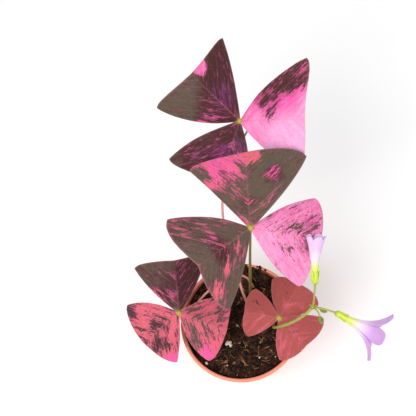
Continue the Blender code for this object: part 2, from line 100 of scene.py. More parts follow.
# Floor and studio light: a plain pale floor under a white sky, with a large soft lamp over the left
# shoulder and a weaker one on the right, so that shadows stay faint.
FLOOR_HALF = 900.0
SKY_STRENGTH = 0.66
LAMP_AIM = (10.0, 20.0, 100.0)
# Name, place, size and power in watts
LAMPS = (("key", (-350, -250, 750), 500, 4.6), ("fill", (450, -150, 500), 450, 1.0))


def srgb(red, green, blue):
    """A colour given from 0 to 255 as seen on screen, made linear."""
    values = np.array([red, green, blue]) / 255
    linear = np.where(values <= 0.04045, values / 12.92, ((values + 0.055) / 1.055) ** 2.4)
    return (*map(float, linear), 1.0)


class Shader:
    """Builds a material's node tree: each call adds a node and returns its output."""

    def __init__(self, name, roughness=0.5):
        self.material = bpy.data.materials.new(name)
        self.material.use_nodes = True
        self.tree = self.material.node_tree
        self.surface = self.tree.nodes["Principled BSDF"]
        self.surface.inputs["Roughness"].default_value = roughness

    def feed(self, socket, value):
        """Links a socket or sets its value; a tuple of whole numbers is a colour from 0 to 255."""
        if isinstance(value, tuple) and isinstance(value[0], int):
            value = srgb(*value)
        if isinstance(value, bpy.types.NodeSocket):
            self.tree.links.new(value, socket)
        else:
            socket.default_value = value

    def add(self, kind, output=0, settings=None, **inputs):
        node = self.tree.nodes.new(kind)
        for key, value in (settings or {}).items():
            setattr(node, key, value)
        for key, value in inputs.items():
            self.feed(node.inputs[int(key[1:]) if key[0] == "i" and key[1:].isdigit() else key], value)
        return node.outputs[output]

    def mix(self, share, first, second):
        """The first colour where the share is 0 and the second where it is 1."""
        return self.add("ShaderNodeMix", 2, {"data_type": "RGBA"}, i0=share, i6=first, i7=second)

    def steps(self, value, colour, *stages, smooth=True):
        """Passes from a colour to each stage's own, as the value runs from the stage's low to its high."""
        for low, high, after in stages:
            colour = self.mix(self.ramp(value, low, high, smooth), colour, after)
        return colour

    def math(self, operation, first, second, third=0.0):
        return self.add("ShaderNodeMath", settings={"operation": operation}, i0=first, i1=second, i2=third)

    def times(self, first, second):
        return self.math("MULTIPLY", first, second)

    def ramp(self, value, low, high, smooth=True):
        """0 under low, 1 over high, and smooth in between."""
        kind = {"interpolation_type": "SMOOTHSTEP" if smooth else "LINEAR"}
        return self.add("ShaderNodeMapRange", settings=kind, i0=value, i1=low, i2=high)

    def span(self, value, low, high, first, second):
        """Runs straight from the first number at low to the second at high."""
        return self.add("ShaderNodeMapRange", i0=value, i1=low, i2=high, i3=first, i4=second)

    def noise(self, vector, scale, detail=3.0, roughness=0.5, distortion=0.0):
        return self.add("ShaderNodeTexNoise", Vector=vector, Scale=scale, Detail=detail, Roughness=roughness,
                        Distortion=distortion)

    def value(self, name):
        """A number stored at the mesh's points under this name."""
        return self.add("ShaderNodeAttribute", "Fac", {"attribute_name": name})

    def place(self):
        """Object coordinates, in metres."""
        return self.add("ShaderNodeTexCoord", output=3)

    def bump(self, height, strength, distance):
        """Relief at a height given by a value, its distance in metres."""
        self.set(Normal=self.add("ShaderNodeBump", Height=height, Strength=strength, Distance=distance))

    def set(self, **inputs):
        for key, value in inputs.items():
            self.feed(self.surface.inputs[key.replace("_", " ")], value)
        return self.material


floor_mesh = bpy.data.meshes.new("floor")
corners = np.array([(-1, -1, 0), (1, -1, 0), (1, 1, 0), (-1, 1, 0)]) * FLOOR_HALF * MM
floor_mesh.from_pydata(corners.tolist(), [], [(0, 1, 2, 3)])
floor = bpy.data.objects.new("floor", floor_mesh)
bpy.context.scene.collection.objects.link(floor)
floor_mesh.materials.append(Shader("pale_floor", 0.9).set(Base_Color=(250, 250, 250)))

world = bpy.data.worlds.new("studio")
world.use_nodes = True
world.node_tree.nodes["Background"].inputs["Color"].default_value = (1.0, 1.0, 1.0, 1.0)
world.node_tree.nodes["Background"].inputs["Strength"].default_value = SKY_STRENGTH
bpy.context.scene.world = world
for lamp_name, place, size, power in LAMPS:
    lamp_data = bpy.data.lights.new(lamp_name, "AREA")
    lamp_data.size = size * MM
    lamp_data.energy = power
    z_axis = unit(np.array(place) - LAMP_AIM)
    stand(lamp_name, lamp_data, unit(np.cross((0, 1, 0), z_axis)), z_axis, place)


# The pot: a thin plastic nursery pot of terracotta colour with a rolled lip, a collar, a tapered wall and
# six drain holes in its floor. It is one turned shell, moulded in one piece.
LIP_RADIUS = 35.0
LIP_BEAD = 1.0
COLLAR_FOOT = 53.0
COLLAR_RADIUS = 33.7
SHOULDER_RADIUS = 32.5
FOOT_RADIUS = 23.0
FOOT_ROUND = 1.5
FOOT_FLAT = FOOT_RADIUS - 1.6       # reach of the flat underside
STEP_DEPTH = 1.0                    # height over which the body steps out to the collar
COLLAR_FLARE = 0.4
WALL = 0.9
FLOOR_THICKNESS = 1.0
DRAIN_COUNT = 6
DRAIN_RADIUS = 3.0
DRAIN_RING = 14.0
POT_SIDES = 180


def piece(name, shell, material, replaces=(), uv=None, values=None, smooth=True):
    """Makes a finished piece from a shell: points in millimetres and lists of faces.

    uv and each of the values are lists of arrays, which follow each other as the points do.
    """
    points, faces = shell
    mesh = bpy.data.meshes.new(name)
    mesh.from_pydata((np.asarray(points) * MM).tolist(), [], [tuple(face) for face in faces])
    if uv is not None:
        corner = np.empty(len(mesh.loops), dtype=np.int32)
        mesh.loops.foreach_get("vertex_index", corner)
        layer = mesh.uv_layers.new(name="UVMap")
        layer.data.foreach_set("uv", np.vstack(uv).astype(np.float32)[corner].ravel())
    for key, numbers in (values or {}).items():
        attribute = mesh.attributes.new(key, "FLOAT", "POINT")
        attribute.data.foreach_set("value", np.concatenate(numbers).astype(np.float32))
    mesh.polygons.foreach_set("use_smooth", np.full(len(mesh.polygons), smooth))
    mesh.materials.append(material)
    mesh.update()
    obj = bpy.data.objects.new(name, mesh)
    bpy.context.scene.collection.objects.link(obj)
    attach(obj, "root")
    if replaces:
        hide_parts(*replaces)
    return obj


def quads(rows, columns, wrap=False):
    """Faces of a grid of points stored row by row; with wrap the last column joins the first."""
    across = columns if wrap else columns - 1
    row, column = np.meshgrid(np.arange(rows - 1), np.arange(across), indexing="ij")
    row, column = row.ravel(), column.ravel()
    after = (column + 1) % columns
    return np.stack([row * columns + column, row * columns + after,
                     (row + 1) * columns + after, (row + 1) * columns + column], axis=1)


def closed_grid(rows, sides):
    """Faces of a wrapped grid with its two ends closed on two more points, stored after the grid's own."""
    turn = np.arange(sides)
    after, last_row = (turn + 1) % sides, (rows - 1) * sides
    first, last = np.full(sides, rows * sides), np.full(sides, rows * sides + 1)
    fans = np.stack([first, after, turn], axis=1), np.stack([last, last_row + turn, last_row + after], axis=1)
    return quads(rows, sides, wrap=True).tolist() + np.vstack(fans).tolist()


def turned(profile, sides):
    """Points and faces of a profile carried round the Z axis; its first and last points lie on the axis."""
    profile = np.asarray(profile, dtype=float)
    turns = 2 * np.pi * np.arange(sides) / sides
    ring = profile[1:-1]
    points = np.stack([ring[:, :1] * np.cos(turns), ring[:, :1] * np.sin(turns),
                       np.repeat(ring[:, 1:], sides, axis=1)], axis=2).reshape(-1, 3)
    return np.vstack([points, [0, 0, profile[0, 1]], [0, 0, profile[-1, 1]]]), closed_grid(len(ring), sides)


def wall_radius(height):
    """Outer radius of the pot's wall under its lip: a straight taper, a small step, and the collar."""
    body = FOOT_RADIUS + (SHOULDER_RADIUS - FOOT_RADIUS) * height / (COLLAR_FOOT - STEP_DEPTH)
    collar = COLLAR_RADIUS + COLLAR_FLARE * (height - COLLAR_FOOT) / (RIM_HEIGHT - COLLAR_FOOT)
    share = np.clip((height - COLLAR_FOOT) / STEP_DEPTH + 1.0, 0.0, 1.0)
    share = share * share * (3 - 2 * share)
    return body * (1 - share) + collar * share


lip_middle = LIP_RADIUS - LIP_BEAD
bead_height = RIM_HEIGHT - LIP_BEAD
outside = [(0.0, 0.0), (FOOT_FLAT, 0.0)]
for t in np.radians((20, 45, 70)):
    outside.append((FOOT_FLAT + FOOT_ROUND * math.sin(t), FOOT_ROUND - FOOT_ROUND * math.cos(t)))
for height in (2.0, 12.0, 24.0, 36.0, 48.0, 51.7, *np.linspace(COLLAR_FOOT - STEP_DEPTH, COLLAR_FOOT, 6),
               53.4, 56.0, 59.4):
    outside.append((float(wall_radius(height)), height))
bead = [(lip_middle + LIP_BEAD * math.cos(t), bead_height + LIP_BEAD * math.sin(t))
        for t in np.radians(np.linspace(-55, 200, 16))]
inside = []
for height in (59.0, 56.0, 53.4, *np.linspace(COLLAR_FOOT, COLLAR_FOOT - STEP_DEPTH, 5), 48.0, 24.0, 3.0):
    inside.append((float(wall_radius(height)) - WALL, height))
inside += [(FOOT_RADIUS - WALL - 0.3, FLOOR_THICKNESS + 0.5), (FOOT_RADIUS - WALL - 1.0, FLOOR_THICKNESS),
           (0.0, FLOOR_THICKNESS)]


def make_mottle():
    """Node group for soft blotches: noise between two levels mixes two colours."""
    group = bpy.data.node_groups.new("mottle", "ShaderNodeTree")
    for kind, sockets in (("Vector", ("Vector",)), ("Float", ("Scale", "Detail", "Roughness", "Low", "High")),
                          ("Color", ("First", "Second"))):
        for socket in sockets:
            group.interface.new_socket(socket, in_out="INPUT", socket_type=f"NodeSocket{kind}")
    group.interface.new_socket("Color", in_out="OUTPUT", socket_type="NodeSocketColor")
    given = group.nodes.new("NodeGroupInput").outputs
    noise = group.nodes.new("ShaderNodeTexNoise")
    for socket in ("Vector", "Scale", "Detail", "Roughness"):
        group.links.new(given[socket], noise.inputs[socket])
    share = group.nodes.new("ShaderNodeMapRange")
    share.interpolation_type = "SMOOTHSTEP"
    blend = group.nodes.new("ShaderNodeMix")
    blend.data_type = "RGBA"
    for source, target in ((noise.outputs[0], share.inputs[0]), (given["Low"], share.inputs[1]),
                           (given["High"], share.inputs[2]), (share.outputs[0], blend.inputs[0]),
                           (given["First"], blend.inputs[6]), (given["Second"], blend.inputs[7]),
                           (blend.outputs[2], group.nodes.new("NodeGroupOutput").inputs["Color"])):
        group.links.new(source, target)
    return group


def mottled(shader, spot, first, second, scale, detail, half=0.15, roughness=0.5):
    """Places the mottle group in a material and returns its colour; half is half the width of its blend."""
    return shader.add("ShaderNodeGroup", settings={"node_tree": mottle_group}, Vector=spot, Scale=scale,
                      Detail=detail, Roughness=roughness, Low=0.5 - half, High=0.5 + half, First=first,
                      Second=second)


mottle_group = make_mottle()
plastic = Shader("terracotta_plastic")
spot = plastic.place()
scuff = plastic.ramp(plastic.noise(spot, 420.0, 6.0, 0.7), 0.55, 0.72)
tint = mottled(plastic, spot, (228, 134, 108), (233, 142, 116), 90.0, 4.0, 0.2)
tint = plastic.mix(plastic.times(scuff, 0.25), tint, (245, 190, 172))
grime = plastic.times(plastic.ramp(plastic.noise(spot, 160.0, 5.0, 0.65), 0.58, 0.78), 0.22)
tint = plastic.mix(grime, tint, (120, 66, 48))
plastic.set(Base_Color=tint, Roughness=plastic.span(scuff, 0.0, 1.0, 0.36, 0.6))
plastic.bump(plastic.noise(spot, 900.0, 4.0, 0.6), 0.12, 0.0004)
pot_shell = turned(outside + bead + inside, POT_SIDES)
pot = piece("pot_shell", pot_shell, plastic.material, replaces=["pot"])
drill = bpy.data.collections.new("drill")
for index in range(DRAIN_COUNT):
    turn = 2 * math.pi * (index + 0.5) / DRAIN_COUNT
    hole_points, hole_faces = turned([(0, -3), (DRAIN_RADIUS, -3), (DRAIN_RADIUS, 4), (0, 4)], 40)
    hole_points = hole_points + np.array([DRAIN_RING * math.cos(turn), DRAIN_RING * math.sin(turn), 0])
    hole_mesh = bpy.data.meshes.new("hole")
    hole_mesh.from_pydata((hole_points * MM).tolist(), [], hole_faces)
    drill.objects.link(bpy.data.objects.new("hole", hole_mesh))
cut = pot.modifiers.new("drain_holes", "BOOLEAN")
cut.operand_type = "COLLECTION"
cut.collection = drill
cut.operation = "DIFFERENCE"
graph = bpy.context.evaluated_depsgraph_get()
drilled = bpy.data.meshes.new_from_object(pot.evaluated_get(graph))
pot.modifiers.clear()
pot.data = drilled
pot.data.set_sharp_from_angle(angle=math.radians(40))
for hole in list(drill.objects):
    bpy.data.objects.remove(hole)
bpy.data.collections.remove(drill)


# The soil: dark, damp potting mix with a crumbly top, coir fibres, bark chips and grains of perlite. It
# fills the pot to a few millimetres under the lip and is banked up towards the back.
SOIL_LEVEL = 55.0
SOIL_BANK = 4.0                     # rise towards the back
SOIL_LUMPS = 26
SOIL_SEED = 7
SOIL_SKIRT = 47.0                   # down to here the side follows the wall at a small gap
SOIL_GAP = 0.3
LOOSE_CRUMBS = 620
SPILLED_CRUMBS = 34                 # on the lip at the back
FIBRES = 150
FIBRE_STEPS = 12
BARK_CHIPS = 60
# Place across and towards the back, and size
PERLITE = ((-10.2, -9.4, 1.7), (-9.4, -11.0, 1.2), (-25.2, -17.4, 0.9), (-2.5, -1.0, 0.5), (5.0, -22.0, 0.45),
           (-14.0, -22.0, 0.4), (14.0, -24.0, 0.4), (-20.0, 4.0, 0.45))
SOIL_EDGE = float(wall_radius(SOIL_LEVEL + 1)) - WALL - 0.2
SOIL_RINGS = 110
SOIL_SIDES = 300


def soil_height(x, y):
    """A bank towards the back, long waves, and seeded lumps, as on the soil's solid."""
    draw = np.random.default_rng(SOIL_SEED)
    height = SOIL_LEVEL + SOIL_BANK * np.clip((y + 4.0) / 34.0, 0, 1) ** 2
    height = height + 0.5 * np.sin(x / 6.1 + 0.7) * np.cos(y / 7.3)
    for _ in range(SOIL_LUMPS):
        radius, turn, size, rise = (draw.uniform(2, 30), draw.uniform(0, 2 * math.pi),
                                    draw.uniform(1.8, 3.4), draw.uniform(0.6, 1.5))
        away = (x - radius * math.cos(turn)) ** 2 + (y - radius * math.sin(turn)) ** 2
        height = height + rise * np.exp(-away / size ** 2)
    return height


def soil_crumb(x, y, count, low, high, seed):
    """Small domed crumbs raised from the soil: the highest of many seeded half-balls at each place."""
    draw = np.random.default_rng(seed)
    reach = SOIL_EDGE * np.sqrt(draw.uniform(0, 1, count))
    turn = draw.uniform(0, 2 * np.pi, count)
    size = draw.uniform(low, high, count)
    centre_x, centre_y = reach * np.cos(turn), reach * np.sin(turn)
    raised = np.zeros_like(x)
    for cx, cy, r in zip(centre_x, centre_y, size):
        near = (np.abs(x - cx) < r) & (np.abs(y - cy) < r)
        away = 1 - ((x[near] - cx) ** 2 + (y[near] - cy) ** 2) / r ** 2
        raised[near] = np.maximum(raised[near], 0.75 * r * np.sqrt(np.clip(away, 0, 1)))
    return raised


def tube(route, radii, sides=12, flat=1.0):
    """A round bar along a route with its own radius at each point, closed by domes; returns points and faces.

    Each ring lies square to the route, in a frame carried along it without twist.
    """
    route = np.asarray(route, dtype=float)
    radii = np.broadcast_to(radii, len(route))
    ahead = np.gradient(route, axis=0)
    ahead /= np.linalg.norm(ahead, axis=1)[:, None]
    side = np.cross(ahead[0], (0.31, 0.72, 0.62))
    frames = []
    for direction in ahead:
        side = side - direction * (side @ direction)
        side = side / np.linalg.norm(side)
        frames.append(side)
    side = np.array(frames)
    over = np.cross(ahead, side)
    turns = 2 * np.pi * np.arange(sides) / sides
    rings = (route[:, None] + radii[:, None, None] * (np.cos(turns)[None, :, None] * side[:, None]
                                                      + flat * np.sin(turns)[None, :, None] * over[:, None]))
    tips = np.array([route[0] - ahead[0] * radii[0] * 0.6, route[-1] + ahead[-1] * radii[-1] * 0.6])
    return np.vstack([rings.reshape(-1, 3), tips]), closed_grid(len(route), sides)


def smooth_route(nodes, count):
    """A number of points on a Catmull-Rom curve through the given ones."""
    nodes = np.asarray(nodes, dtype=float)
    padded = np.vstack([2 * nodes[0] - nodes[1], nodes, 2 * nodes[-1] - nodes[-2]])
    run = np.linspace(0, len(nodes) - 1 - 1e-9, count)
    k = run.astype(int)
    t = (run - k)[:, None]
    a, b, c, d = padded[k], padded[k + 1], padded[k + 2], padded[k + 3]
    return 0.5 * (2 * b + (c - a) * t + (2 * a - 5 * b + 4 * c - d) * t ** 2
                  + (3 * b - a - 3 * c + d) * t ** 3)


def gather(shells):
    """Joins several (points, faces) shells into one list of points and one of faces."""
    points, faces, start = [], [], 0
    for shell_points, shell_faces in shells:
        points.append(shell_points)
        faces += [tuple(index + start for index in face) for face in shell_faces]
        start += len(shell_points)
    return np.vstack(points), faces


def pebble(centre, size, draw, rings=6, sides=9, stretch=(1, 1, 1)):
    """A small irregular lump: a ball whose radius is pushed in and out by seeded waves."""
    phase = draw.uniform(0, 2 * np.pi, 6)
    tilt = np.linalg.qr(draw.normal(size=(3, 3)))[0]
    latitude = np.linspace(0, np.pi, rings + 1)[1:-1]
    turns = 2 * np.pi * np.arange(sides) / sides
    la, lo = np.meshgrid(latitude, turns, indexing="ij")
    ball = np.stack([np.sin(la) * np.cos(lo), np.sin(la) * np.sin(lo), np.cos(la)], axis=2).reshape(-1, 3)
    ball = np.vstack([ball, [0, 0, 1], [0, 0, -1]])
    rough = 1 + 0.16 * np.sin(3 * ball[:, 0] + phase[0]) + 0.13 * np.sin(4 * ball[:, 1] + phase[1])
    rough = rough + 0.12 * np.sin(5 * ball[:, 2] + phase[2]) * np.cos(3 * ball[:, 0] + phase[3])
    points = (ball * rough[:, None] * np.array(stretch)) @ tilt.T * size + np.asarray(centre)
    faces = closed_grid(rings - 1, sides)
    if np.linalg.det(tilt) > 0:
        faces = [face[::-1] for face in faces]
    return points, faces


soil = Shader("potting_soil", 0.95)
spot = soil.place()
grain = soil.ramp(soil.noise(spot, 900.0, 4.0, 0.7), 0.52, 0.66)
earth = mottled(soil, spot, (22, 12, 9), (66, 40, 27), 180.0, 5.0, roughness=0.6)
earth = soil.mix(soil.times(grain, 0.6), earth, (118, 78, 52))
# Painted shade: the low places between the crumbs, and the bed's side and foot by the wall, are darkened
# towards near black.
earth = soil.mix(soil.value("raised"), soil.mix(0.65, earth, (12, 7, 5)), earth)
soil.set(Base_Color=earth, Specular_IOR_Level=0.25)
soil.bump(soil.noise(spot, 1300.0, 6.0, 0.7), 0.9, 0.0006)

ring_share = np.linspace(0.5 / SOIL_RINGS, 1, SOIL_RINGS)
turns = 2 * np.pi * np.arange(SOIL_SIDES) / SOIL_SIDES
soil_x = SOIL_EDGE * ring_share[:, None] * np.cos(turns)
soil_y = SOIL_EDGE * ring_share[:, None] * np.sin(turns)
crumbs = soil_crumb(soil_x, soil_y, 900, 0.5, 1.5, 3) + 0.6 * soil_crumb(soil_x, soil_y, 260, 1.2, 2.6, 5)
soil_z = soil_height(soil_x, soil_y) - 0.6 + crumbs
# The crumbs' rise, 0 in the hollows and 1 on crumb tops, sets how much painted shade the soil gets.
raised = np.clip(crumbs / 0.9, 0, 1)
top = np.stack([soil_x, soil_y, soil_z], axis=2).reshape(-1, 3)
circle = np.stack([np.cos(turns), np.sin(turns), np.zeros(SOIL_SIDES)], axis=1)
soil_foot = FLOOR_THICKNESS + SOIL_GAP
skirt = circle * (float(wall_radius(SOIL_SKIRT)) - WALL - SOIL_GAP) + (0, 0, SOIL_SKIRT)
base = circle * (FOOT_RADIUS - WALL - 1.0) + (0, 0, soil_foot)
soil_points = np.vstack([top, skirt, base, [0, 0, float(soil_z[0].mean())], [0, 0, soil_foot]])
soil_faces = [face[::-1] for face in closed_grid(SOIL_RINGS + 2, SOIL_SIDES)]
# The bed's side and foot get nought and so take the full painted shade; its middle point gets half.
piece("soil_bed", (soil_points, soil_faces), soil.material, replaces=["soil"],
      values={"raised": [raised.ravel(), np.zeros(2 * SOIL_SIDES), [0.5, 0.0]]})


def on_soil(x, y):
    """Height of the bed at one place."""
    return float(soil_height(np.array(x, dtype=float), np.array(y, dtype=float)))


def scatter(most):
    """A seeded place on the soil, evenly spread over this share of its area."""
    reach, turn = SOIL_EDGE * math.sqrt(draw.uniform(0, most)), draw.uniform(0, 2 * math.pi)
    return reach * math.cos(turn), reach * math.sin(turn)


draw = np.random.default_rng(21)
lumps = []
for _ in range(LOOSE_CRUMBS):
    x, y = scatter(0.96)
    size = draw.uniform(0.35, 1.15) * (1.25 if draw.uniform() > 0.85 else 1.0)
    lumps.append(pebble((x, y, on_soil(x, y) + 0.1 + 0.25 * size), size, draw, 5, 8))
for _ in range(SPILLED_CRUMBS):
    turn = math.radians(draw.uniform(48, 96))
    reach = draw.uniform(30.5, 34.2)
    x, y = reach * math.cos(turn), reach * math.sin(turn)
    size = draw.uniform(0.45, 1.1)
    lumps.append(pebble((x, y, RIM_HEIGHT - 0.4 + 0.35 * size), size, draw, 5, 8))
# Loose crumbs get one, so they take no painted shade.
piece("soil_crumbs", gather(lumps), soil.material,
      values={"raised": [np.ones(len(points)) for points, _ in lumps]})


def rough_stuff(name, roughness, first, second, scale, detail, half, relief, strength, distance):
    """A mottled material with a fine relief, given by its noise, strength and distance in metres."""
    shader = Shader(name, roughness)
    spot = shader.place()
    shader.bump(shader.noise(spot, *relief), strength, distance)
    return shader.set(Base_Color=mottled(shader, spot, first, second, scale, detail, half))


coir = rough_stuff("coir_fibre", 0.8, (112, 66, 38), (186, 132, 84), 260.0, 3.0, 0.15,
                   (1500.0, 3.0), 0.4, 0.0003)
fibres = []
for _ in range(FIBRES):
    x, y = scatter(0.9)
    heading, bend, length = draw.uniform(0, 2 * math.pi), draw.uniform(-1.6, 1.6), draw.uniform(3.0, 9.5)
    run = np.linspace(0, 1, FIBRE_STEPS)
    angle = heading + bend * run
    fx = x + np.cumsum(np.cos(angle)) * length / FIBRE_STEPS
    fy = y + np.cumsum(np.sin(angle)) * length / FIBRE_STEPS
    if np.hypot(fx, fy).max() < SOIL_EDGE - 0.8:
        fz = soil_height(fx, fy) + 0.45 + draw.uniform(0, 0.7) * np.sin(np.pi * run)
        fibres.append(tube(np.stack([fx, fy, fz], axis=1), draw.uniform(0.07, 0.17), 6))
piece("coir_fibres", gather(fibres), coir)

bark = rough_stuff("bark_chip", 0.85, (92, 54, 34), (170, 118, 76), 500.0, 4.0, 0.1,
                   (1200.0, 4.0), 0.6, 0.0004)
chips = []
for _ in range(BARK_CHIPS):
    x, y = scatter(0.9)
    chips.append(pebble((x, y, on_soil(x, y) + 0.55), draw.uniform(0.5, 1.3), draw, 4, 6, (1.6, 0.6, 0.3)))
piece("bark_chips", gather(chips), bark, smooth=False)

perlite = rough_stuff("perlite", 0.9, (232, 220, 200), (252, 246, 234), 700.0, 4.0, 0.1,
                      (900.0, 5.0), 0.7, 0.0005)
grains = [pebble((x, y, on_soil(x, y) + 0.55), size, draw, 8, 12) for x, y, size in PERLITE]
piece("perlite_grains", gather(grains), perlite)


# The rhizomes: short scaly rootstocks buried in the soil, from which every stalk rises. They keep the
# shapes of their solids and get a brown, mottled skin.
scaly_skin = rough_stuff("scaly_rhizome", 0.8, (120, 74, 54), (196, 148, 118), 240.0, 4.0, 0.15,
                         (800.0, 4.0), 0.5, 0.0004)
for number in (1, 2):
    root_node = frame["nodes"][f"rhizome_{number}"]
    root_node.data.materials.clear()
    root_node.data.materials.append(scaly_skin)


# The petioles: round, slightly translucent leaf stalks. The front one is thick and olive green, brown at
# its foot, and the thin ones behind it are flushed pink.
HUB_RADIUS = 1.75
STEM_POINTS = 90
STEM_SIDES = 20
# The leaf it carries, foot radius, top radius, whether it is pink, and its route up from the soil
PETIOLES = {
    "petiole_1": ("leaf_1", 0.85, 0.5, True, (
        (6.4, 10.6, 50.6), (6.2, 12.0, 56.0), (5.2, 18.0, 72.0), (5.0, 36.0, 81.0), (5.6, 53.8, 89.6),
        (10.3, 68.5, 95.2), (18.6, 80.1, 101.0), (28.3, 88.4, 111.0), (30.9, 89.7, 115.5),
        (30.2, 90.0, 120.5), (28.9, 90.4, 125.0))),
    "petiole_2": ("leaf_2", 1.25, 0.60, False, (
        (9.4, 14.2, 50.6), (9.7, 14.5, 57.0), (11.0, 16.2, 78.0), (13.2, 19.4, 104.0))),
    "petiole_3": ("leaf_3", 0.70, 0.55, True, (
        (13.1, 18.6, 50.6), (12.6, 19.2, 56.0), (9.2, 22.8, 68.0), (0.0, 24.0, 74.5),
        (-14.0, 17.4, 76.0), (-26.0, 8.8, 77.5), (-30.8, 6.4, 81.5))),
    "petiole_4": ("leaf_4", 0.75, 0.55, False, (
        (14.0, 3.6, 50.6), (14.2, 3.2, 56.0), (16.5, -0.6, 67.0), (19.6, -7.4, 79.0))),
}
HUBS = {"leaf_1": (27.6, 88.8, 130.0), "leaf_2": (16.5, 23.8, 138.0),
        "leaf_3": (-31.6, 6.1, 88.0), "leaf_4": (20.4, -10.6, 86.0)}


def stem_shader(name, foot, middle, tip, flush, roughness=0.45):
    """Soft plant tissue that changes colour from foot to tip, with long fine streaks in a last colour."""
    shader = Shader(name, roughness)
    spot = shader.place()
    colour = shader.steps(shader.value("along"), foot, (0.02, 0.3, middle), (0.35, 0.95, tip))
    stretched = shader.add("ShaderNodeMapping", i0=spot, i3=(1.0, 1.0, 0.12))
    streak = shader.ramp(shader.noise(stretched, 1600.0, 3.0), 0.42, 0.68)
    colour = shader.mix(shader.times(streak, 0.45), colour, flush)
    shader.set(Base_Color=colour, Subsurface_Weight=0.15, Subsurface_Radius=(0.002, 0.001, 0.0006))
    shader.bump(streak, 0.15, 0.0002)
    return shader.material


olive_stem = stem_shader("olive_petiole", (96, 62, 34), (112, 98, 48), (128, 126, 58), (150, 96, 66))
pink_stem = stem_shader("pink_petiole", (206, 150, 128), (214, 140, 132), (176, 128, 84), (232, 176, 170))
for stem_name, (leaf_name, foot_size, top_size, is_pink, bends) in PETIOLES.items():
    hub = np.array(HUBS[leaf_name])
    under_hub = hub + (HUB_RADIUS - 0.2) * unit(np.array(bends[-1]) - hub)
    route = smooth_route([*bends, under_hub], STEM_POINTS)
    share = np.linspace(0, 1, len(route))
    swell = 1 + 0.12 * np.exp(-share / 0.05) + 0.10 * np.exp(-((1 - share) / 0.03) ** 2)
    radii = (foot_size + (top_size - foot_size) * share) * swell
    piece(f"{stem_name}_stalk", tube(route, radii, STEM_SIDES), pink_stem if is_pink else olive_stem,
          replaces=[stem_name], values={"along": [np.repeat(share, STEM_SIDES), [0, 1]]})


# The leaves: each frond has three thin leaflets that meet at a yellow-green hub. A leaflet is a blunt
# triangle with a straight midrib, side veins that run forward, and pink marbling over dark purple-brown
# tissue.
CORNER_ALONG = 0.98                 # the outer corner, in midrib lengths
CORNER_ASIDE = 0.80
CORNER_BLUNT = 0.10
MIDRIB_DROOP = math.radians(8)
WING_CURL = math.radians(10)
VEIN_SLANT = 0.85
VEIN_SPACING = 0.115                # in midrib lengths
BLADE_ROWS = 64
BLADE_COLUMNS = 96
BLADE_THICKNESS = 0.45

